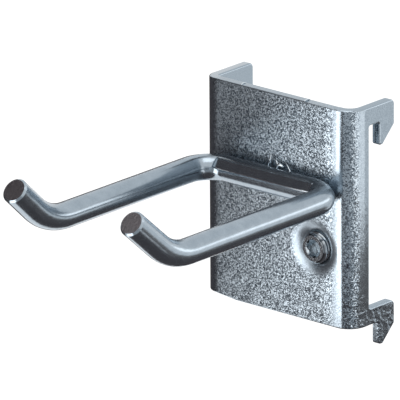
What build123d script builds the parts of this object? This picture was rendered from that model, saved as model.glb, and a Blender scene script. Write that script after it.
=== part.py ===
from build123d import *
import os
from math import cos, radians, sin, sqrt

os.makedirs("parts", exist_ok=True)

# A double hook for a perforated steel panel, in millimetres.
# The panel's front face is the plane Y = 0, and the hook stands in front of it, towards -Y.
# X = 0 is the middle of the plate. Z = 0 is the lower seats, where the lower tabs rest in
# their holes.

# Mounting plate: one blank of steel sheet, folded into a shallow channel with four tabs
sheet = 1.8  # thickness
plate_width = 35.4  # across the two flanges
flange_depth = 4.7  # from the panel to the plate's front face
left_bend = 0.6  # inside radius of the left fold
right_bend = 2.0  # inside radius of the right fold, which was made over a softer former
hole_pitch = 38.0  # from the panel's lower holes to its upper ones
upper_neck = 3.5  # height of an upper tab where it goes through the panel
lower_neck = 3.2  # height of a lower tab there
panel_slot = 2.85  # room for the panel between a flange and a finger
tab_reach = 7.05  # how far a tab goes behind the panel's front face
finger_drop = 4.4  # how far a finger hangs below its seat
short_drop = 3.2  # the same for the lower left finger, cropped shorter than the rest
finger_shoulder = 1.2  # from the seat down to where the finger starts to narrow
finger_tip = 0.95  # width left at the finger's end
finger_round = 0.42  # corners of the finger's end
neck_round = 1.0  # upper rear corner of each tab
punch_round = 0.5  # every other corner of the blank
edge_round = 0.28  # edges worn soft by tumbling and plating

# Edges of the web, where the blank was parted from its strip
web_drop = 0.14  # how far the lower edge hangs below the seats at the front
crop_start = -9.7  # left of here the lower edge is cropped upwards
crop_rise = 0.65  # to this height at the flange's outer face
dip_left = 6.2  # the upper edge dips a little between here
dip_right = 13.4  # and here
dip_depth = 0.12

# Drawn collar for the clamping screw, right of the middle
screw_x = 8.5
screw_height = 14.0
thread_diameter = 6.0
funnel_mouth = 11.4  # where the sheet starts to dip on the front
funnel_lip = 4.6  # radius of the dip's section
collar_wall = 1.2
collar_length = 1.9  # behind the sheet
collar_root = 0.7  # radius where the collar leaves the sheet
collar_rim = 0.3  # chamfer round the collar's end

# Clamping screw: a hexagon socket grub screw, driven back against the panel
screw_length = 5.0
screw_clearance = 0.05  # all round, in the collar
screw_chamfer = 0.5
socket_flats = 3.0
socket_depth = 2.5
socket_lead = 0.25  # chamfer at the socket's mouth
cup_diameter = 3.6
cup_depth = 0.9

# Wire hook: one round wire bent to a U, with both ends turned up
wire = 4.9
wire_inset = 0.15  # from each flange's outer face in to the wire
hook_height = 25.8
corner_bend = 5.2  # to the middle of the wire
tip_bend = 12.6  # to the middle of the wire
left_reach = 45.9  # from the plate's front face to where a tip's line meets its arm's
right_reach = 46.8
left_tip = 11.9  # along the tip from there to its end
right_tip = 13.9
left_rise = 43.0  # degrees from the arm
right_rise = 40.9  # degrees from the arm
end_chamfer = 0.35

# Resistance weld: the wire sinks into the plate, and the electrode leaves a flat on it
weld_sink = 0.15
mark_length = 23.0
mark_width = 2.2
mark_depth = 0.16
mark_angle = 36.0  # degrees above the horizontal

# Worked out from those
plate_height = hole_pitch + upper_neck
front = -flange_depth
back = front + sheet
thread_radius = thread_diameter / 2
funnel_run = funnel_mouth / 2 - thread_radius
funnel_depth = funnel_lip - sqrt(funnel_lip**2 - funnel_run**2)
collar_outside = screw_height + thread_radius + collar_wall
collar_end = back + collar_length
shank = thread_radius - screw_clearance
socket_corner = socket_flats / sqrt(3)
wire_y = front - wire / 2 + weld_sink
arm_x = plate_width / 2 - wire_inset - wire / 2


def tab_corners(seat, neck, drop):
    """Corners of one tab in the (Y, Z) plane, each with its radius, from its top round to its seat."""
    tip = seat - drop
    return [
        ((tab_reach, seat + neck), neck_round),
        ((tab_reach, seat - finger_shoulder), punch_round),
        ((panel_slot + finger_tip, tip), finger_round),
        ((panel_slot, tip), finger_round),
        ((panel_slot, seat), punch_round),
    ]


# Mounting plate
with BuildPart() as mounting_plate:
    # the blank's outline, seen from the side: web and flanges, with a tab at each hole
    for left_end, lower_drop in ((-plate_width / 2, short_drop), (0, finger_drop)):
        with BuildSketch(Plane.YZ.offset(left_end)):
            corners = [((front, plate_height), 0)]
            corners += tab_corners(hole_pitch, upper_neck, finger_drop)
            corners += [((0, hole_pitch), punch_round), ((0, lower_neck), punch_round)]
            corners += tab_corners(0, lower_neck, lower_drop)
            corners += [((0, 0), 0), ((front, -web_drop), 0)]
            with BuildLine():
                FilletPolyline([at for at, _ in corners], radius=[r for _, r in corners], close=True)
            make_face()
        extrude(amount=plate_width / 2)

    # the fold: the outside line of the channel, thickened inwards and drawn up
    with BuildLine(Plane.XY.offset(-finger_drop)):
        FilletPolyline(
            (-plate_width / 2, tab_reach),
            (-plate_width / 2, front),
            (plate_width / 2, front),
            (plate_width / 2, tab_reach),
            radius=[left_bend + sheet, right_bend + sheet],
        )
    make_brake_formed(
        thickness=sheet,
        station_widths=plate_height + finger_drop,
        side=Side.LEFT,
        mode=Mode.INTERSECT,
    )

    # the web's lower left corner, cropped up towards the fold and not into the seat
    seat_end = Vector(-plate_width / 2, 0, 0)
    crop_foot = Vector(crop_start, front, -web_drop)
    crop_top = Vector(-plate_width / 2, front, crop_rise)
    crop_plane = Plane(
        seat_end,
        x_dir=crop_foot - seat_end,
        z_dir=(crop_top - seat_end).cross(crop_foot - seat_end),
    )
    with BuildSketch(crop_plane):
        with BuildLine():
            Polyline(
                [crop_plane.to_local_coords(p) for p in (seat_end, crop_foot, crop_top)],
                close=True,
            )
        make_face()
    extrude(amount=crop_rise + web_drop, dir=(0, 0, -1), mode=Mode.SUBTRACT)

    # soft edges all round the blank, on both of its faces
    seams = mounting_plate.edges().filter_by(Axis.X).filter_by(lambda e: e.length < 1.01 * sheet)
    folds = mounting_plate.edges().filter_by(Axis.Z).filter_by(lambda e: e.center().Y < -0.01)
    fillet(mounting_plate.edges() - seams - folds, radius=edge_round)

    # the dip in the upper edge, right of where the blank was parted
    with BuildSketch(Plane.XY.offset(plate_height - dip_depth)):
        with Locations(((dip_left + dip_right) / 2, (front + back) / 2)):
            Rectangle(dip_right - dip_left, sheet)
    extrude(amount=2 * dip_depth, mode=Mode.SUBTRACT)

    # the drawn collar: sheet pushed back round the screw, then the dip and bore through it
    collar_axis = Axis((screw_x, 0, screw_height), (0, 1, 0))
    with BuildSketch(Plane.YZ.offset(screw_x)):
        with BuildLine():
            root = (back, collar_outside + collar_root)
            start = (back + collar_root, collar_outside)
            TangentArc(root, start, tangent=(0, -1))
            Polyline(
                start,
                (collar_end - collar_rim, collar_outside),
                (collar_end, collar_outside - collar_rim),
                (collar_end, screw_height),
                (back - collar_root, screw_height),
                (back - collar_root, collar_outside + collar_root),
                root,
            )
        make_face()
    revolve(axis=collar_axis)
    with BuildSketch(Plane.YZ.offset(screw_x)):
        with BuildLine():
            mouth = (front, screw_height + funnel_mouth / 2)
            throat = (front + funnel_depth, screw_height + thread_radius)
            TangentArc(mouth, throat, tangent=(0, -1))
            Polyline(
                throat,
                (collar_end, screw_height + thread_radius),
                (collar_end, screw_height),
                (front, screw_height),
                mouth,
            )
        make_face()
    revolve(axis=collar_axis, mode=Mode.SUBTRACT)
mounting_plate.part.label = "mounting_plate"
export_step(mounting_plate.part, "parts/mounting_plate.step")

# Wire hook
with BuildPart() as wire_hook:
    with BuildLine() as route:
        sides = (
            (-arm_x, left_reach, left_rise, left_tip),
            (arm_x, right_reach, right_rise, right_tip),
        )
        arms = []
        for x, reach, rise, length in sides:
            turn = Vector(x, front - reach, hook_height)
            tip = turn + length * Vector(0, -cos(radians(rise)), sin(radians(rise)))
            arms.append([tip, turn, Vector(x, wire_y, hook_height)])
        FilletPolyline(
            arms[0] + arms[1][::-1],
            radius=[tip_bend, corner_bend, corner_bend, tip_bend],
        )
    with BuildSketch(Plane(route.line @ 0, z_dir=route.line % 0)):
        Circle(wire / 2)
    sweep(path=route.line)
    ends = wire_hook.faces().filter_by(GeomType.PLANE)
    chamfer(ends.edges(), length=end_chamfer)

    # the back of the crossbar, seated flat on the plate by the weld
    split(bisect_by=Plane.XZ.offset(flange_depth), keep=Keep.TOP)

    # the electrode's mark along the front of the crossbar
    mark_normal = Vector(0, -cos(radians(mark_angle)), sin(radians(mark_angle)))
    mark_centre = Vector(0, wire_y, hook_height) + mark_normal * (wire / 2 - mark_depth)
    with BuildSketch(Plane(mark_centre, x_dir=(1, 0, 0), z_dir=mark_normal)):
        Rectangle(mark_length, mark_width)
    extrude(amount=wire / 2, mode=Mode.SUBTRACT)
wire_hook.part.label = "wire_hook"
export_step(wire_hook.part, "parts/wire_hook.step")

# Clamping screw, its rear end just at the panel
with BuildPart() as clamping_screw:
    with BuildSketch(Plane.YZ.offset(screw_x)):
        with BuildLine():
            Polyline(
                (socket_lead - screw_length, screw_height),
                (socket_lead - screw_length, screw_height + socket_corner - socket_lead),
                (-screw_length, screw_height + socket_corner),
                (-screw_length, screw_height + shank - screw_chamfer),
                (screw_chamfer - screw_length, screw_height + shank),
                (-screw_chamfer, screw_height + shank),
                (0, screw_height + shank - screw_chamfer),
                (0, screw_height + cup_diameter / 2),
                (-cup_depth, screw_height),
                close=True,
            )
        make_face()
    revolve(axis=collar_axis)
    socket_face = Plane((screw_x, -screw_length, screw_height), x_dir=(1, 0, 0), z_dir=(0, -1, 0))
    with BuildSketch(socket_face):
        RegularPolygon(socket_corner, side_count=6)
    extrude(amount=-socket_depth, mode=Mode.SUBTRACT)
clamping_screw.part.label = "clamping_screw"
export_step(clamping_screw.part, "parts/clamping_screw.step")
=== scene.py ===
# %% [markdown]
# # Pegboard double hook, dressed for the camera
#
# A zinc-plated steel hook for a perforated panel: a folded plate with four tabs, one round wire
# bent to a U and welded across it, and a small clamping screw. The solids come from the packed
# model and stay as they are. This file gives them their finish, and adds what is too fine for a
# solid: the screw's thread, the rim round the electrode's mark, the flash at the weld, and the
# burrs on the plate's upper edge.

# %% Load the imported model
import math

import bmesh
import bpy
from mathutils import Matrix, Vector


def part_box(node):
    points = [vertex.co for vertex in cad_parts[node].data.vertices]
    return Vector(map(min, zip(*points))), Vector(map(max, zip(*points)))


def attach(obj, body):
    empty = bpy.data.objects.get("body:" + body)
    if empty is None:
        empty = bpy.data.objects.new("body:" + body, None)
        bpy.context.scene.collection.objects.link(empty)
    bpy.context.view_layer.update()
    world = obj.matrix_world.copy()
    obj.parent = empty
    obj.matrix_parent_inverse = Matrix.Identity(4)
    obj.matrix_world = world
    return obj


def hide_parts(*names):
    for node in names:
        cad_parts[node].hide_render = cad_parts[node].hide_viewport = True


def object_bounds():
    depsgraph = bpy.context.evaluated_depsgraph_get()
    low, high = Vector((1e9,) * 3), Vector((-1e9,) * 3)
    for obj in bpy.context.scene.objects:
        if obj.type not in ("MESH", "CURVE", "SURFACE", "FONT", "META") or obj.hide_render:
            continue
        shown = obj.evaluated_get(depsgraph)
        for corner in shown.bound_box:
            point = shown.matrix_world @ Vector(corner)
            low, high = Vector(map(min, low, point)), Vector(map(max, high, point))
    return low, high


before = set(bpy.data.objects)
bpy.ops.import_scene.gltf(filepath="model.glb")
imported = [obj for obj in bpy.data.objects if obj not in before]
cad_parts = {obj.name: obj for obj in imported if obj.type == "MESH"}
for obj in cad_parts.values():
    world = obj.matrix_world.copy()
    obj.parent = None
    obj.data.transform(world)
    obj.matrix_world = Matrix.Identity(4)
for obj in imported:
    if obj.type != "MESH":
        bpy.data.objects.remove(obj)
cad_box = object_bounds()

MM = 0.001
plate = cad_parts["mounting_plate"]
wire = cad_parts["wire_hook"]
plate_low, plate_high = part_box("mounting_plate")
wire_low, wire_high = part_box("wire_hook")
screw_low, screw_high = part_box("clamping_screw")
print("nodes:", sorted(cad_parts))
print("box, mm:", [round(x / MM, 2) for corner in cad_box for x in corner])
print("plate, mm:", [round(x / MM, 2) for x in plate_high - plate_low])
print("wire, mm:", [round(x / MM, 2) for x in wire_high - wire_low])
print("screw, mm:", [round(x / MM, 2) for x in screw_high - screw_low])

# %% [markdown]
# ## Camera
#
# The photograph was taken from the right and a little above, through a long lens: the two arms
# stay almost parallel. The angles, the scale and the place of the image's centre were fitted to
# edge points of the photograph. A long lens is a small field of view from far away, so the
# camera stands two metres off.

# %% Camera
IMAGE = 400  # width and height in pixels
azimuth, elevation, roll = (math.radians(a) for a in (41.085, 18.378, -0.334))
pixels_per_mm = 5.498
centre_u, centre_v = 278.464, 311.588  # where the fit's origin falls in the image
fit_origin = Vector((0, -4.7, 0))  # that origin, in millimetres
distance = 2000.0

right = Vector((math.cos(azimuth), math.sin(azimuth), 0))
towards_camera = Vector((
    math.cos(elevation) * math.sin(azimuth),
    -math.cos(elevation) * math.cos(azimuth),
    math.sin(elevation),
))
above = towards_camera.cross(right)
image_right = math.cos(roll) * right + math.sin(roll) * above
image_up = math.cos(roll) * above - math.sin(roll) * right

camera_data = bpy.data.cameras.new("camera")
camera_data.sensor_width = 36
camera_data.lens = pixels_per_mm * distance * camera_data.sensor_width / IMAGE
camera_data.clip_start, camera_data.clip_end = 0.1, 20
camera = bpy.data.objects.new("camera", camera_data)
bpy.context.scene.collection.objects.link(camera)
place = fit_origin + distance * towards_camera
place -= (centre_u - IMAGE / 2) / pixels_per_mm * image_right
place += (centre_v - IMAGE / 2) / pixels_per_mm * image_up
axes = Matrix((image_right, image_up, towards_camera)).transposed().to_4x4()
camera.matrix_world = Matrix.Translation(place * MM) @ axes
bpy.context.scene.camera = camera
print("lens, mm:", round(camera_data.lens, 1))

# %% [markdown]
# ## Colours and nodes
#
# Colours are written as sRGB hex, as a picture program shows them, and turned to the linear
# values that Blender's sockets take. Every node of every material is added by one function.

# %% Colour and node helpers
def linear(hex_colour):
    """The linear RGBA of an sRGB hex colour."""
    parts = [int(hex_colour[i:i + 2], 16) / 255 for i in (1, 3, 5)]
    return [c / 12.92 if c <= 0.04045 else ((c + 0.055) / 1.055) ** 2.4 for c in parts] + [1.0]


def node(tree, kind, inputs=None, **settings):
    """Adds a node, sets its properties, and fills its inputs with values or links."""
    made = tree.nodes.new(kind)
    for name, value in settings.items():
        setattr(made, name, value)
    for name, value in (inputs or {}).items():
        if isinstance(value, bpy.types.NodeSocket):
            tree.links.new(value, made.inputs[name])
        else:
            made.inputs[name].default_value = value
    return made


def empty_material(name):
    """A material whose node tree is emptied, and that tree."""
    made = bpy.data.materials.new(name)
    made.use_nodes = True
    made.node_tree.nodes.clear()
    return made, made.node_tree


# %% [markdown]
# ## Floor, tent and lamps
#
# Bright metal shows its surroundings more than its own colour. The photograph was taken in a
# white tent, with dark surroundings where the tent stops: in front to the left, above in front,
# to the front right, and close underneath. So the world is white, and a dark card stands
# wherever the metal is dark. A card is seen by glossy rays only: it gives the metal its dark
# lines and throws no shadow. Grey, pale and lit cards to the right and behind give the tones
# between in the same way. A soft box in front gives the white stripe down the right-hand fold, a
# low one behind gives the bright line along the arms, and one above lights the rest.

# %% White world
world = bpy.data.worlds.new("white_tent")
bpy.context.scene.world = world
world.use_nodes = True
tree = world.node_tree
tree.nodes.clear()
path = node(tree, "ShaderNodeLightPath")
seen = node(tree, "ShaderNodeMath", {
    0: path.outputs["Is Camera Ray"], 1: path.outputs["Is Glossy Ray"]}, operation="ADD")
seen = node(tree, "ShaderNodeMath", {0: seen.outputs[0], 1: path.outputs["Is Transmission Ray"]},
            operation="ADD", use_clamp=True)
light = node(tree, "ShaderNodeBackground", {"Color": linear("#ECECEC"), "Strength": 0.8})
white = node(tree, "ShaderNodeBackground", {"Color": linear("#FFFFFF"), "Strength": 1.0})
mixed = node(tree, "ShaderNodeMixShader", {
    0: seen.outputs[0], 1: light.outputs[0], 2: white.outputs[0]})
node(tree, "ShaderNodeOutputWorld", {"Surface": mixed.outputs[0]})
print("world:", len(tree.nodes), "nodes")

# %% Pale floor
FLOOR_DROP = 0.30  # metres below the hook's lowest point

bpy.ops.object.select_all(action="DESELECT")
bpy.ops.mesh.primitive_plane_add(size=12, location=(0, 0, cad_box[0].z - FLOOR_DROP))
floor = bpy.context.object
floor.name = "floor"
paper, tree = empty_material("white_paper")
path = node(tree, "ShaderNodeLightPath")
seen = node(tree, "ShaderNodeMath", {
    0: path.outputs["Is Camera Ray"], 1: path.outputs["Is Glossy Ray"]},
    operation="ADD", use_clamp=True)
matt = node(tree, "ShaderNodeBsdfDiffuse", {"Color": linear("#F6F6F6")})
glow = node(tree, "ShaderNodeEmission", {"Color": linear("#FFFFFF"), "Strength": 0.5})
lifted = node(tree, "ShaderNodeAddShader", {0: matt.outputs[0], 1: glow.outputs[0]})
mixed = node(tree, "ShaderNodeMixShader", {
    0: seen.outputs[0], 1: matt.outputs[0], 2: lifted.outputs[0]})
node(tree, "ShaderNodeOutputMaterial", {"Surface": mixed.outputs[0]})
floor.data.materials.append(paper)
print("floor at z, mm:", round(floor.location.z / MM, 1))

# %% Cards
HOOK_CENTRE = Vector((0, -12, 22)) * MM
NEAR, FAR = 0.15, 0.55  # metres from the hook's centre


def direction(bearing, height):
    """Unit vector at a bearing from the hook's front, towards +X, and a height, in degrees."""
    b, h = math.radians(bearing), math.radians(height)
    return Vector((math.sin(b) * math.cos(h), -math.cos(b) * math.cos(h), math.sin(h)))


def card_material(name, shade, strength=1.0):
    """A shade that shows as written in a reflection, or brighter at a strength above one."""
    made, tree = empty_material(name)
    glow = node(tree, "ShaderNodeEmission", {"Color": linear(shade), "Strength": strength})
    node(tree, "ShaderNodeOutputMaterial", {"Surface": glow.outputs[0]})
    return made


def stage_card(card, name, material):
    """Makes a card show in reflections only."""
    card.name = name
    card.data.materials.append(material)
    for seen_by in ("visible_camera", "visible_diffuse", "visible_transmission", "visible_shadow"):
        setattr(card, seen_by, False)


def curved_card(name, far, lower, upper, material):
    """A card bent round the hook, from its lower to its upper edge.

    Each edge is given by its left bearing, right bearing and height, in degrees.
    """
    bpy.ops.object.select_all(action="DESELECT")
    bpy.ops.mesh.primitive_grid_add(x_subdivisions=16, y_subdivisions=16, size=1)
    card = bpy.context.object
    for corner in card.data.vertices:
        across, up = corner.co.x + 0.5, corner.co.y + 0.5
        left, right_end, height = [low + up * (high - low) for low, high in zip(lower, upper)]
        corner.co = HOOK_CENTRE + far * direction(left + across * (right_end - left), height)
    stage_card(card, name, material)


black_felt = card_material("black_felt", "#565254")
grey_card = card_material("grey_card", "#B2B6BA")
pale_card = card_material("pale_card", "#F4F7F9")
dark_card = card_material("dark_card", "#74706F")
lit_card = card_material("lit_card", "#FFFFFF", strength=1.45)

curved_card("card_front_left", NEAR, (-134, -35, -42), (-134, -26, 12), black_felt)
curved_card("card_front_above", NEAR, (-112, -26, 12), (-112, -14, 62), black_felt)
curved_card("card_front_right", FAR, (7, 17, -46), (7, 17, 24), black_felt)
curved_card("card_right", FAR, (17, 80, -46), (17, 80, 20), grey_card)
curved_card("card_right_side", FAR, (84, 130, -46), (84, 130, 12), lit_card)
curved_card("card_right_behind", FAR, (130, 176, -46), (130, 176, -4), pale_card)
curved_card("card_behind", FAR, (140, 220, 17), (140, 220, 60), pale_card)


def cut_card(name, corners, material):
    """A small card cut to its corners, which are given in millimetres."""
    bpy.ops.object.select_all(action="DESELECT")
    bpy.ops.mesh.primitive_circle_add(vertices=len(corners), radius=1, fill_type="NGON")
    card = bpy.context.object
    for vertex, corner in zip(card.data.vertices, corners):
        vertex.co = Vector(corner) * MM
    stage_card(card, name, material)


# a small flag close to the web darkens its left part
cut_card("card_flag", [(-84, -36, -24), (-38, -58, -24), (-22, -62, 46), (-84, -36, 46)],
         black_felt)

# two level cards just under the hook: a black one below its front, and a dark grey one below
# the right flange, cut slantwise so that the flange still sees light behind it
BENCH = -30  # mm, their height
front_outline = ((-20, -90), (70, -90), (82, -20), (82, 50), (62, 66), (-20, 72))
flange_outline = (
    (82, -10), (150, -10), (152, 50), (124, 105), (106, 118), (50, 84), (62, 66), (82, 30))
cut_card("card_below", [(x, y, BENCH) for x, y in front_outline], black_felt)
cut_card("card_below_flange", [(x, y, BENCH) for x, y in flange_outline], dark_card)

# %% Lamps
def add_lamp(name, bearing, height, far, width, tall, radiance):
    """A soft box that faces the hook.

    far, width and tall are in metres, and radiance is in multiples of the white world's.
    """
    data = bpy.data.lights.new(name, "AREA")
    data.shape = "RECTANGLE"
    data.size, data.size_y = width, tall
    data.energy = radiance * math.pi * width * tall
    lamp = bpy.data.objects.new(name, data)
    bpy.context.scene.collection.objects.link(lamp)
    to_lamp = direction(bearing, height)
    turned = to_lamp.to_track_quat("Z", "Y").to_matrix().to_4x4()
    lamp.matrix_world = Matrix.Translation(HOOK_CENTRE + far * to_lamp) @ turned
    lamp.visible_camera = False
    return lamp


add_lamp("soft_box_front", -12, -14, far=0.50, width=0.34, tall=0.50, radiance=2.0)
add_lamp("soft_box_behind", 138, 8, far=0.60, width=0.50, tall=0.12, radiance=1.3)
add_lamp("soft_box_above", 60, 80, far=0.90, width=0.60, tall=0.60, radiance=1.2)
print("lamps:", len(bpy.data.lights))

# %% [markdown]
# ## Bright zinc on sheet
#
# The plate is cold-rolled steel, bent, then barrel plated with bright zinc. The sheet's skin was
# rough before plating, so the thin bright layer covers a fine grain of facets. Each facet tilts
# the mirror a few degrees: some catch the soft box, others the dark card, and the eye sees
# glitter. A bump pattern gives a leathery skin instead, so here each cell of a Voronoi pattern
# tilts the normal its own way. Where the sheet was drawn, cut or rubbed, round the screw's
# collar, on its edges and behind its folds, the facets are smoothed away. A bend never starts
# at a line: the web already leans a little beside its folds, and below its sheared upper edge.

# %% Facets of the plated sheet
FACET = 0.19  # mm across, about a pixel: the real grain is finer, and wouldn't show
FACET_LEAN = 0.09  # sideways reach of the random lean, over the normal's length
SMOOTH = 0.1  # what is left of the facets where the sheet is smooth

bright_zinc_sheet, tree = empty_material("bright_zinc_on_rough_sheet")
coords = node(tree, "ShaderNodeTexCoord")
place = coords.outputs["Object"]
axes = node(tree, "ShaderNodeSeparateXYZ", {0: place})

# from the screw's axis outwards, the collar's mouth is smooth and the web rough
screw_axis = (screw_low + screw_high) / 2
from_screw = node(tree, "ShaderNodeMapping", {
    "Vector": place, "Location": (-screw_axis.x, 0, -screw_axis.z), "Scale": (1, 0, 1)})
away = node(tree, "ShaderNodeVectorMath", {0: from_screw.outputs[0]}, operation="LENGTH")
round_collar = node(tree, "ShaderNodeMapRange", {
    "Value": away.outputs["Value"], "From Min": 4.4 * MM, "From Max": 6.2 * MM, "To Min": SMOOTH})

# the sheared upper edge, the flanges and the tabs are smooth as well
below_top = node(tree, "ShaderNodeMapRange", {
    "Value": axes.outputs["Z"], "From Min": 41.45 * MM, "From Max": 41.1 * MM, "To Min": 0.05})
folded = node(tree, "ShaderNodeMapRange", {
    "Value": axes.outputs["Y"], "From Min": -2.2 * MM, "From Max": -3.2 * MM, "To Min": SMOOTH})
kept = node(tree, "ShaderNodeMath", {0: round_collar.outputs[0], 1: below_top.outputs[0]},
            operation="MULTIPLY")
kept = node(tree, "ShaderNodeMath", {0: kept.outputs[0], 1: folded.outputs[0]},
            operation="MULTIPLY")

# the former rubbed the sheet smooth just before the right fold; round the outside of a fold it
# is stretched, and its facets stand further apart in tone
rubbed = node(tree, "ShaderNodeMapRange", {
    "Value": axes.outputs["X"], "From Min": 12.4 * MM, "From Max": 13.4 * MM,
    "To Min": 1.0, "To Max": 0.25})
stretched = node(tree, "ShaderNodeMapRange", {
    "Value": axes.outputs["X"], "From Min": 14.9 * MM, "From Max": 15.6 * MM,
    "To Min": 0.0, "To Max": 1.8})
beside = node(tree, "ShaderNodeMath", {0: rubbed.outputs[0], 1: stretched.outputs[0]},
              operation="MAXIMUM")
kept = node(tree, "ShaderNodeMath", {0: kept.outputs[0], 1: beside.outputs[0]},
            operation="MULTIPLY")

# the left fold is sharper, and the die ironed it smooth
ironed = node(tree, "ShaderNodeMapRange", {
    "Value": axes.outputs["X"], "From Min": -15.6 * MM, "From Max": -14.4 * MM, "To Min": 0.35})
kept = node(tree, "ShaderNodeMath", {0: kept.outputs[0], 1: ironed.outputs[0]},
            operation="MULTIPLY")

facets = node(tree, "ShaderNodeTexVoronoi", {"Vector": place, "Scale": 1 / (FACET * MM)})
lean = node(tree, "ShaderNodeVectorMath", {0: facets.outputs["Color"], 1: (0.5, 0.5, 0.5)},
            operation="SUBTRACT")
reach = node(tree, "ShaderNodeMath", {0: kept.outputs[0], 1: 2 * FACET_LEAN}, operation="MULTIPLY")
lean = node(tree, "ShaderNodeVectorMath", {0: lean.outputs[0], "Scale": reach.outputs[0]},
            operation="SCALE")
leaning = node(tree, "ShaderNodeVectorMath", {0: coords.outputs["Normal"], 1: lean.outputs[0]},
               operation="ADD")
leaning = node(tree, "ShaderNodeVectorMath", {0: leaning.outputs[0]}, operation="NORMALIZE")

# %% Shape of the web that is too slight for the solid
LEAN_MIDDLE = -1.6  # mm; the lean starts nearer the left fold, which is sharper
FOLD_LEAN_START = 12.1  # mm from there
FOLD_LEAN = 16.0  # per metre: the fall is this times the square of the way past the start
EDGE_LEAN_START = 39.6  # mm above the lower seats
EDGE_LEAN = 40.0  # per metre, as above
SMEAR = 5.0  # mm between the broad light and dark patches
SMEAR_HEIGHT = 0.04  # mm
DENT = 1.1  # mm between the knocks on the lower right tab
DENT_HEIGHT = 0.20  # mm

# the lean beside the folds
past = node(tree, "ShaderNodeMath", {0: axes.outputs["X"], 1: LEAN_MIDDLE * MM},
            operation="SUBTRACT")
past = node(tree, "ShaderNodeMath", {0: past.outputs[0]}, operation="ABSOLUTE")
past = node(tree, "ShaderNodeMath", {0: past.outputs[0], 1: FOLD_LEAN_START * MM},
            operation="SUBTRACT")
past = node(tree, "ShaderNodeMath", {0: past.outputs[0], 1: 0.0}, operation="MAXIMUM")
fall = node(tree, "ShaderNodeMath", {0: past.outputs[0], 1: past.outputs[0]}, operation="MULTIPLY")

# the lean below the upper edge
over = node(tree, "ShaderNodeMath", {0: axes.outputs["Z"], 1: EDGE_LEAN_START * MM},
            operation="SUBTRACT")
over = node(tree, "ShaderNodeMath", {0: over.outputs[0], 1: 0.0}, operation="MAXIMUM")
drop = node(tree, "ShaderNodeMath", {0: over.outputs[0], 1: over.outputs[0]}, operation="MULTIPLY")
drop = node(tree, "ShaderNodeMath", {0: drop.outputs[0], 1: EDGE_LEAN}, operation="MULTIPLY")
shape = node(tree, "ShaderNodeMath", {0: fall.outputs[0], 1: FOLD_LEAN, 2: drop.outputs[0]},
             operation="MULTIPLY_ADD")

# the sheet isn't quite flat, and the lower right tab is knocked
smear = node(tree, "ShaderNodeTexNoise", {
    "Vector": place, "Scale": 1 / (SMEAR * MM), "Detail": 2.0, "Roughness": 0.5})
shape = node(tree, "ShaderNodeMath", {
    0: smear.outputs["Fac"], 1: SMEAR_HEIGHT * MM, 2: shape.outputs[0]}, operation="MULTIPLY_ADD")
knocked = node(tree, "ShaderNodeMapRange", {
    "Value": axes.outputs["Z"], "From Min": 9.0 * MM, "From Max": 2.0 * MM})
outside = node(tree, "ShaderNodeMapRange", {
    "Value": axes.outputs["X"], "From Min": 16.9 * MM, "From Max": 17.5 * MM})
knocked = node(tree, "ShaderNodeMath", {0: knocked.outputs[0], 1: outside.outputs[0]},
               operation="MULTIPLY")
dents = node(tree, "ShaderNodeTexNoise", {
    "Vector": place, "Scale": 1 / (DENT * MM), "Detail": 2.0, "Roughness": 0.5})
dents = node(tree, "ShaderNodeMath", {0: dents.outputs["Fac"], 1: knocked.outputs[0]},
             operation="MULTIPLY")
shape = node(tree, "ShaderNodeMath", {
    0: dents.outputs[0], 1: DENT_HEIGHT * MM, 2: shape.outputs[0]}, operation="MULTIPLY_ADD")
bent = node(tree, "ShaderNodeBump", {
    "Height": shape.outputs[0], "Strength": 1.0, "Distance": 1.0, "Normal": leaning.outputs[0]},
    invert=True)

# %% Plated sheet
UNEVEN = 1.7  # how far the facets stand apart in tone

# pits between the facets shade one another, so a rough skin is uneven in brightness as well
one_facet = node(tree, "ShaderNodeSeparateColor", {0: facets.outputs["Color"]})
uneven = node(tree, "ShaderNodeMath", {0: one_facet.outputs[0], 1: 0.5}, operation="SUBTRACT")
uneven = node(tree, "ShaderNodeMath", {0: uneven.outputs[0], 1: kept.outputs[0]},
              operation="MULTIPLY")
uneven = node(tree, "ShaderNodeMath", {0: uneven.outputs[0], 1: UNEVEN, 2: 0.5},
              operation="MULTIPLY_ADD")
tint = node(tree, "ShaderNodeMix", {
    0: uneven.outputs[0], 6: linear("#7A858F"), 7: linear("#C4D0D9")}, data_type="RGBA")

# the folds were rubbed by the tools, and mirror more clearly than the web
WEB_ROUGHNESS = 0.33
right_fold = node(tree, "ShaderNodeMapRange", {
    "Value": axes.outputs["X"], "From Min": 13.2 * MM, "From Max": 15.0 * MM,
    "To Min": WEB_ROUGHNESS, "To Max": 0.15})
left_fold = node(tree, "ShaderNodeMapRange", {
    "Value": axes.outputs["X"], "From Min": -14.4 * MM, "From Max": -15.4 * MM,
    "To Min": WEB_ROUGHNESS, "To Max": 0.12})
polished = node(tree, "ShaderNodeMath", {0: right_fold.outputs[0], 1: left_fold.outputs[0]},
                operation="MINIMUM")
metal = node(tree, "ShaderNodeBsdfPrincipled", {
    "Base Color": tint.outputs[2], "Metallic": 1.0, "Roughness": polished.outputs[0],
    "Normal": bent.outputs["Normal"]})
node(tree, "ShaderNodeOutputMaterial", {"Surface": metal.outputs[0]})
plate.data.materials.clear()
plate.data.materials.append(bright_zinc_sheet)
print(bright_zinc_sheet.name + ":", len(tree.nodes), "nodes")

# %% [markdown]
# ## Bright zinc on wire
#
# The wire was drawn through a die, which leaves fine lines along it, and then plated. It is
# smoother than the sheet, so it mirrors the tent almost cleanly, with a soft mottling. Its ends
# were sheared, and the torn steel shows darker and duller under the plating. A second material
# on the end faces would do, but the solid has one slot, so the same material finds them by place.

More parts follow.
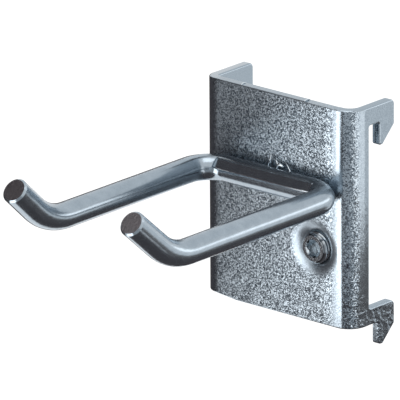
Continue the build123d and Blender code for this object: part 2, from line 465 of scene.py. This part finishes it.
# %% Plated wire
MOTTLE = 2.2  # mm
STREAK = 0.35  # mm between the die's lines
STREAK_HEIGHT = 0.012  # mm
STREAK_SQUEEZE = 0.06  # of that scale along the arms, which draws the pattern out into lines
TORN = 0.5  # mm between the tears of an end face
TORN_HEIGHT = 0.12  # mm

bright_zinc_wire, tree = empty_material("bright_zinc_on_drawn_wire")
coords = node(tree, "ShaderNodeTexCoord")
place = coords.outputs["Object"]
clouds = node(tree, "ShaderNodeTexNoise", {
    "Vector": place, "Scale": 1 / (MOTTLE * MM), "Detail": 4.0, "Roughness": 0.6})
tint = node(tree, "ShaderNodeMix", {
    0: clouds.outputs["Fac"], 6: linear("#95A1AB"), 7: linear("#B2BDC6")}, data_type="RGBA")
drawn = node(tree, "ShaderNodeMapping", {"Vector": place, "Scale": (1, STREAK_SQUEEZE, 1)})
streaks = node(tree, "ShaderNodeTexNoise", {
    "Vector": drawn.outputs[0], "Scale": 1 / (STREAK * MM), "Detail": 2.0, "Roughness": 0.5})
bump = node(tree, "ShaderNodeBump", {
    "Height": streaks.outputs["Fac"], "Strength": 1.0, "Distance": STREAK_HEIGHT * MM})

# the tips' end faces: they look along the tips, and stand in front of everything else
END_FACING = (0, -0.745, 0.667)
facing = node(tree, "ShaderNodeVectorMath", {0: coords.outputs["Normal"], 1: END_FACING},
              operation="DOT_PRODUCT")
square_on = node(tree, "ShaderNodeMath", {0: facing.outputs["Value"], 1: 0.985},
                 operation="GREATER_THAN")
axes = node(tree, "ShaderNodeSeparateXYZ", {0: place})
at_tips = node(tree, "ShaderNodeMath", {0: axes.outputs["Y"], 1: -50 * MM}, operation="LESS_THAN")
sheared = node(tree, "ShaderNodeMath", {0: square_on.outputs[0], 1: at_tips.outputs[0]},
               operation="MULTIPLY")
torn = node(tree, "ShaderNodeTexNoise", {
    "Vector": place, "Scale": 1 / (TORN * MM), "Detail": 4.0, "Roughness": 0.7})
torn_bump = node(tree, "ShaderNodeBump", {
    "Height": torn.outputs["Fac"], "Strength": 1.0, "Distance": TORN_HEIGHT * MM})
metal = node(tree, "ShaderNodeBsdfPrincipled", {
    "Base Color": tint.outputs[2], "Metallic": 1.0, "Roughness": 0.2,
    "Normal": bump.outputs["Normal"]})
cut_face = node(tree, "ShaderNodeBsdfPrincipled", {
    "Base Color": linear("#8E8A8E"), "Metallic": 1.0, "Roughness": 0.3,
    "Normal": torn_bump.outputs["Normal"]})
either = node(tree, "ShaderNodeMixShader", {
    0: sheared.outputs[0], 1: metal.outputs[0], 2: cut_face.outputs[0]})
node(tree, "ShaderNodeOutputMaterial", {"Surface": either.outputs[0]})
wire.data.materials.clear()
wire.data.materials.append(bright_zinc_wire)
print(bright_zinc_wire.name + ":", len(tree.nodes), "nodes")

# %% [markdown]
# ## Bright zinc on the screw
#
# The screw is turned steel with a rolled thread and the same plating. It is smoother than the
# wire, with small dents. Its colour is darkened to near black down in its thread: painted shade
# for the narrow groove. The thread's root could be a second material, but a mask by radius
# keeps its edge soft.

# %% Plated screw
SPOT = 0.5  # mm between its dents
SPOT_HEIGHT = 0.03  # mm

bright_zinc_screw, tree = empty_material("bright_zinc_on_turned_steel")
place = node(tree, "ShaderNodeTexCoord").outputs["Object"]
spots = node(tree, "ShaderNodeTexNoise", {
    "Vector": place, "Scale": 1 / (SPOT * MM), "Detail": 3.0, "Roughness": 0.6})
dented = node(tree, "ShaderNodeBump", {
    "Height": spots.outputs["Fac"], "Strength": 1.0, "Distance": SPOT_HEIGHT * MM})

# the thread's root, darkened as painted shade; the front face and the socket aren't part of it
from_axis = node(tree, "ShaderNodeMapping", {
    "Vector": place, "Location": (-screw_axis.x, 0, -screw_axis.z), "Scale": (1, 0, 1)})
radius = node(tree, "ShaderNodeVectorMath", {0: from_axis.outputs[0]}, operation="LENGTH")
outer = node(tree, "ShaderNodeMapRange", {
    "Value": radius.outputs["Value"], "From Min": 2.5 * MM, "From Max": 2.85 * MM})
axes = node(tree, "ShaderNodeSeparateXYZ", {0: place})
face = node(tree, "ShaderNodeMapRange", {
    "Value": axes.outputs["Y"], "From Min": -4.90 * MM, "From Max": -4.98 * MM})
clear_of_root_shade = node(tree, "ShaderNodeMath", {0: outer.outputs[0], 1: face.outputs[0]},
              operation="MAXIMUM")
inside = node(tree, "ShaderNodeMapRange", {
    "Value": radius.outputs["Value"], "From Min": 2.1 * MM, "From Max": 2.0 * MM})
clear_of_root_shade = node(tree, "ShaderNodeMath", {0: clear_of_root_shade.outputs[0], 1: inside.outputs[0]},
              operation="MAXIMUM")
# painted shade: the thread's root near black, the rest the zinc's own colour
tint = node(tree, "ShaderNodeMix", {
    0: clear_of_root_shade.outputs[0], 6: linear("#30353A"), 7: linear("#CAD2D8")}, data_type="RGBA")
metal = node(tree, "ShaderNodeBsdfPrincipled", {
    "Base Color": tint.outputs[2], "Metallic": 1.0, "Roughness": 0.13,
    "Normal": dented.outputs["Normal"]})
node(tree, "ShaderNodeOutputMaterial", {"Surface": metal.outputs[0]})
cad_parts["clamping_screw"].data.materials.clear()
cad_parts["clamping_screw"].data.materials.append(bright_zinc_screw)
print(bright_zinc_screw.name + ":", len(tree.nodes), "nodes")

# %% [markdown]
# ## Clamping screw
#
# A hexagon socket grub screw, M6 with a pitch of 1 mm. Its thread is rolled on a blank with a
# chamfer at each end, and the funnel leaves about a turn of it in view. The thread could be a
# bump pattern, but a groove this deep changes the outline, so it is cut: an equilateral triangle
# is the 60 degree profile of a metric thread, the Screw modifier winds it round the axis, and a
# boolean cuts that from the blank, as it then cuts the socket and the cup.

# %% Selecting by place
def clear_selection():
    bpy.ops.object.select_all(action="DESELECT")


def select(piece, kind, wanted):
    """Enters edit mode and selects the verts, edges or faces whose corners all pass the test."""
    bpy.context.view_layer.objects.active = piece
    piece.select_set(True)
    bpy.ops.object.mode_set(mode="EDIT")
    bpy.ops.mesh.select_mode(type={"verts": "VERT", "edges": "EDGE", "faces": "FACE"}[kind])
    bpy.ops.mesh.select_all(action="DESELECT")
    mesh = bmesh.from_edit_mesh(piece.data)
    for part in getattr(mesh, kind):
        corners = [part.co] if kind == "verts" else [v.co for v in part.verts]
        if all(wanted(co) for co in corners):
            part.select_set(True)
    mesh.select_flush_mode()
    bmesh.update_edit_mesh(piece.data)


def leave_edit():
    bpy.ops.object.mode_set(mode="OBJECT")


def apply_place(piece):
    """Moves the object's place and turn into its mesh, so that it sits at the origin."""
    clear_selection()
    piece.select_set(True)
    bpy.context.view_layer.objects.active = piece
    bpy.ops.object.transform_apply(location=True, rotation=True, scale=True)


def cut(piece, tool):
    """Cuts the tool from the piece and deletes the tool."""
    clear_selection()
    bpy.context.view_layer.objects.active = piece
    modifier = piece.modifiers.new("cut", "BOOLEAN")
    modifier.operation, modifier.solver, modifier.object = "DIFFERENCE", "EXACT", tool
    bpy.ops.object.modifier_apply(modifier=modifier.name)
    bpy.data.objects.remove(tool)


# %% Screw blank
ALONG_Y = (math.pi / 2, 0, 0)
shank = (screw_high.x - screw_low.x) / 2
screw_length = screw_high.y - screw_low.y
END_CHAMFER = 0.5 * MM

clear_selection()
bpy.ops.mesh.primitive_cylinder_add(vertices=96, radius=shank, depth=screw_length,
                                    location=screw_axis, rotation=ALONG_Y)
threaded_screw = bpy.context.object
threaded_screw.name = "threaded_screw"
apply_place(threaded_screw)
for end in (screw_low.y, screw_high.y):
    select(threaded_screw, "edges", lambda co: abs(co.y - end) < 0.01 * MM)
    bpy.ops.mesh.bevel(offset=END_CHAMFER, segments=1)
    leave_edit()
print("blank, mm:", round(2 * shank / MM, 2), "by", round(screw_length / MM, 2))

# %% Thread
PITCH = 1.0 * MM
GROOVE_START = -1.12 * PITCH  # from the front face: this turns the crests to where they are seen
THREAD_DEPTH = 0.55 * MM
GROOVE_STAND = 0.35 * MM  # how far the winding profile reaches outside the blank
TURNS = 7

clear_selection()
profile_height = THREAD_DEPTH + GROOVE_STAND
profile_radius = profile_height / 1.5  # an equilateral triangle is one and a half radii tall
bpy.ops.mesh.primitive_circle_add(vertices=3, radius=profile_radius,
                                  location=(screw_axis.x, screw_low.y + GROOVE_START, screw_axis.z),
                                  rotation=(0, 0, math.pi / 2))
groove = bpy.context.object
bpy.ops.object.transform_apply(location=False, rotation=True, scale=True)
select(groove, "verts", lambda co: True)
bpy.ops.transform.translate(value=(shank - THREAD_DEPTH + profile_radius, 0, 0))
leave_edit()
winding = groove.modifiers.new("winding", "SCREW")
winding.axis = "Y"
winding.screw_offset = PITCH
winding.iterations = TURNS
winding.steps = winding.render_steps = 72
bpy.ops.object.modifier_apply(modifier=winding.name)
select(groove, "verts", lambda co: False)
bpy.ops.mesh.select_mode(type="EDGE")
bpy.ops.mesh.select_non_manifold()
bpy.ops.mesh.fill()
bpy.ops.mesh.select_all(action="SELECT")
bpy.ops.mesh.normals_make_consistent(inside=False)
leave_edit()
cut(threaded_screw, groove)
print("thread cut:", len(threaded_screw.data.polygons), "faces")

# %% Socket and cup
SOCKET_CORNERS = 2 * 3.0 * MM / math.sqrt(3)  # across corners, for 3 mm across flats
SOCKET_DEPTH = 2.5 * MM
SOCKET_LEAD = 0.12 * MM
DRILL_RADIUS, DRILL_POINT = 1.4 * MM, 0.6 * MM  # the socket's floor is a drill's point
DRILL_OVERLAP = 0.02 * MM  # so that the point and the socket share no face
CUP_RADIUS, CUP_DEPTH = 1.8 * MM, 0.9 * MM

clear_selection()
bpy.ops.mesh.primitive_cylinder_add(vertices=6, radius=SOCKET_CORNERS / 2, depth=2 * SOCKET_DEPTH,
                                    location=(screw_axis.x, screw_low.y, screw_axis.z),
                                    rotation=(math.pi / 2, math.pi / 6, 0))
cut(threaded_screw, bpy.context.object)
clear_selection()
lead_middle = (screw_axis.x, screw_low.y + SOCKET_CORNERS / 2, screw_axis.z)
bpy.ops.mesh.primitive_cone_add(vertices=96, radius1=SOCKET_CORNERS / 2 + SOCKET_LEAD, radius2=0,
                                depth=SOCKET_CORNERS + 2 * SOCKET_LEAD, location=lead_middle,
                                rotation=(-math.pi / 2, 0, 0))
lead = bpy.context.object
lead.location.y -= SOCKET_LEAD
cut(threaded_screw, lead)
clear_selection()
drill_middle = (screw_axis.x, screw_low.y + SOCKET_DEPTH + DRILL_POINT / 2, screw_axis.z)
bpy.ops.mesh.primitive_cone_add(vertices=48, radius1=DRILL_RADIUS, radius2=0, depth=DRILL_POINT,
                                location=drill_middle, rotation=(-math.pi / 2, 0, 0))
drill = bpy.context.object
drill.location.y -= DRILL_OVERLAP
cut(threaded_screw, drill)
clear_selection()
bpy.ops.mesh.primitive_cone_add(vertices=96, radius1=2 * CUP_RADIUS, radius2=0, depth=2 * CUP_DEPTH,
                                location=(screw_axis.x, screw_high.y, screw_axis.z),
                                rotation=ALONG_Y)
cut(threaded_screw, bpy.context.object)
apply_place(threaded_screw)
bpy.ops.object.shade_smooth_by_angle(angle=math.radians(25))
threaded_screw.data.materials.clear()
threaded_screw.data.materials.append(bright_zinc_screw)
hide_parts("clamping_screw")
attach(threaded_screw, "screw")
print("screw:", len(threaded_screw.data.polygons), "faces")

# %% [markdown]
# ## Rim of the electrode's mark
#
# The welding electrode pressed a long flat into the front of the crossbar, and the softened
# steel rose round it in a thin ragged rim. The rim could be drawn into the wire's bump pattern,
# but its bright outline comes from its own little slopes, so it is a piece: a plane of the mark's
# size with rounded corners, inset upwards to a slope and downwards to a wall, and made uneven.

# %% Mark's rim
WIRE_AXIS = Vector((0, -7.0, 25.8)) * MM  # the middle of the crossbar
MARK_ANGLE = 36.0  # degrees above the horizontal
MARK_OUT = 2.29 * MM  # from the wire's axis to the mark
MARK_LENGTH, MARK_WIDTH = 23.0 * MM, 1.85 * MM
RIM_WIDTH, RIM_HEIGHT = 0.20 * MM, 0.22 * MM
RIM_WALL = 0.03 * MM  # the steep side towards the mark
RIM_CORNER = 0.35 * MM
RIM_SUNK = 0.10 * MM  # the rim's foot below the mark
RAGGED = 0.008 * MM
END_RISE = 0.10 * MM  # the rim stands higher where the electrode ended
END_ZONE = 0.5 * MM  # of the mark's length, where it does
RIM_FOOT = 0.02 * MM  # below this it stays where it is

clear_selection()
bpy.ops.mesh.primitive_plane_add(size=1)
mark_rim = bpy.context.object
mark_rim.name = "mark_rim"
select(mark_rim, "faces", lambda co: True)
bpy.ops.transform.resize(value=(MARK_LENGTH + RIM_WIDTH, MARK_WIDTH + RIM_WIDTH, 1))
bpy.ops.mesh.bevel(offset=RIM_CORNER, segments=4, affect="VERTICES")
bpy.ops.mesh.select_all(action="SELECT")
bpy.ops.mesh.inset(thickness=RIM_WIDTH, depth=RIM_HEIGHT)
bpy.ops.mesh.inset(thickness=RIM_WALL, depth=-RIM_HEIGHT)
bpy.ops.mesh.delete(type="FACE")
bpy.ops.mesh.select_all(action="SELECT")
bpy.ops.mesh.subdivide(number_cuts=3)
bpy.ops.transform.vertex_random(offset=RAGGED, seed=4)
leave_edit()
select(mark_rim, "verts",
       lambda co: abs(co.x) > MARK_LENGTH / 2 - END_ZONE and co.z > RIM_FOOT)
bpy.ops.transform.translate(value=(0, 0, END_RISE))
leave_edit()
mark_rim.rotation_euler = (math.radians(90 - MARK_ANGLE), 0, 0)
mark_rim.location = WIRE_AXIS + (MARK_OUT - RIM_SUNK) * Vector((
    0, -math.cos(math.radians(MARK_ANGLE)), math.sin(math.radians(MARK_ANGLE))))
apply_place(mark_rim)
select(mark_rim, "faces", lambda co: True)
bpy.ops.mesh.normals_make_consistent(inside=False)
leave_edit()
bpy.ops.object.shade_smooth_by_angle(angle=math.radians(40))
mark_rim.data.materials.append(bright_zinc_screw)
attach(mark_rim, "hook")
print("rim:", len(mark_rim.data.polygons), "faces")

# %% [markdown]
# ## Flash of the weld, and burrs on the upper edge
#
# Where the wire sank into the plate, drops and whiskers of molten steel were thrown up behind
# its crossbar and froze there. Each is a small tapered curl: a hexagon, extruded and narrowed
# again and again while it sways. A curve with a bevel would do too, but this is one mesh of a
# few faces. The press that parted the blank from its strip left two burrs of the same shape
# across the upper edge. One curl is modelled, and copied from foot to tip.

# %% One curl
CURL_FOOT = 0.15 * MM  # radius
CURL_RISE = 0.36 * MM  # at each step
# mm of sway, and taper
CURL_STEPS = ((0.10, 1.15), (0.12, 1.0), (0.0, 0.9), (-0.10, 0.8), (-0.12, 0.5))

clear_selection()
bpy.ops.mesh.primitive_circle_add(vertices=6, radius=CURL_FOOT, fill_type="NGON")
curl = bpy.context.object
select(curl, "faces", lambda co: True)
for sway, taper in CURL_STEPS:
    bpy.ops.mesh.extrude_region_move(TRANSFORM_OT_translate={"value": (sway * MM, 0, CURL_RISE)})
    bpy.ops.transform.resize(value=(taper, taper, 1))
bpy.ops.mesh.select_all(action="SELECT")
bpy.ops.mesh.normals_make_consistent(inside=False)
bpy.ops.mesh.subdivide(number_cuts=1, smoothness=0.8)
leave_edit()
print("curl:", len(curl.data.polygons), "faces")


def copy_curl(name, foot, tip, thickness):
    """A copy of the curl from foot to tip, in millimetres, thicker or thinner than the first."""
    made = curl.copy()
    made.data = curl.data.copy()
    made.name = name
    bpy.context.scene.collection.objects.link(made)
    along = (Vector(tip) - Vector(foot)) * MM
    made.location = Vector(foot) * MM
    made.rotation_euler = along.to_track_quat("Z", "X").to_euler()
    made.scale = (thickness, thickness, along.length / (len(CURL_STEPS) * CURL_RISE))
    apply_place(made)
    bpy.ops.object.shade_smooth_by_angle(angle=math.radians(60))
    made.data.materials.append(bright_zinc_screw)
    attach(made, "hook")


# %% Flash and burrs
# foot and tip in millimetres, and thickness over the first curl's
FLASH = (
    ((-1.65, -5.4, 27.6), (-1.05, -5.3, 28.8), 1.0),
    ((-1.10, -5.4, 28.3), (-1.15, -5.2, 30.0), 1.2),
    ((0.95, -5.6, 28.2), (-0.65, -5.2, 29.35), 1.0),
    ((0.80, -6.0, 28.05), (2.40, -5.95, 28.55), 2.0),
    ((4.20, -6.2, 28.0), (2.00, -5.3, 29.35), 0.8),
)
BURRS = (
    ((-8.85, -4.65, 41.48), (-8.95, -3.0, 41.48), 0.7),
    ((6.20, -4.65, 41.45), (6.20, -3.0, 41.45), 0.8),
)
for number, (foot, tip, thickness) in enumerate(FLASH):
    copy_curl("weld_flash_%d" % number, foot, tip, thickness)
for number, (foot, tip, thickness) in enumerate(BURRS):
    copy_curl("edge_burr_%d" % number, foot, tip, thickness)
bpy.data.objects.remove(curl)
print("curls copied:", len(FLASH) + len(BURRS))

# %% [markdown]
# ## Finish
#
# The view transform is Standard, which shows each colour as it was chosen.

# %% Finish
bpy.context.scene.view_settings.view_transform = "Standard"
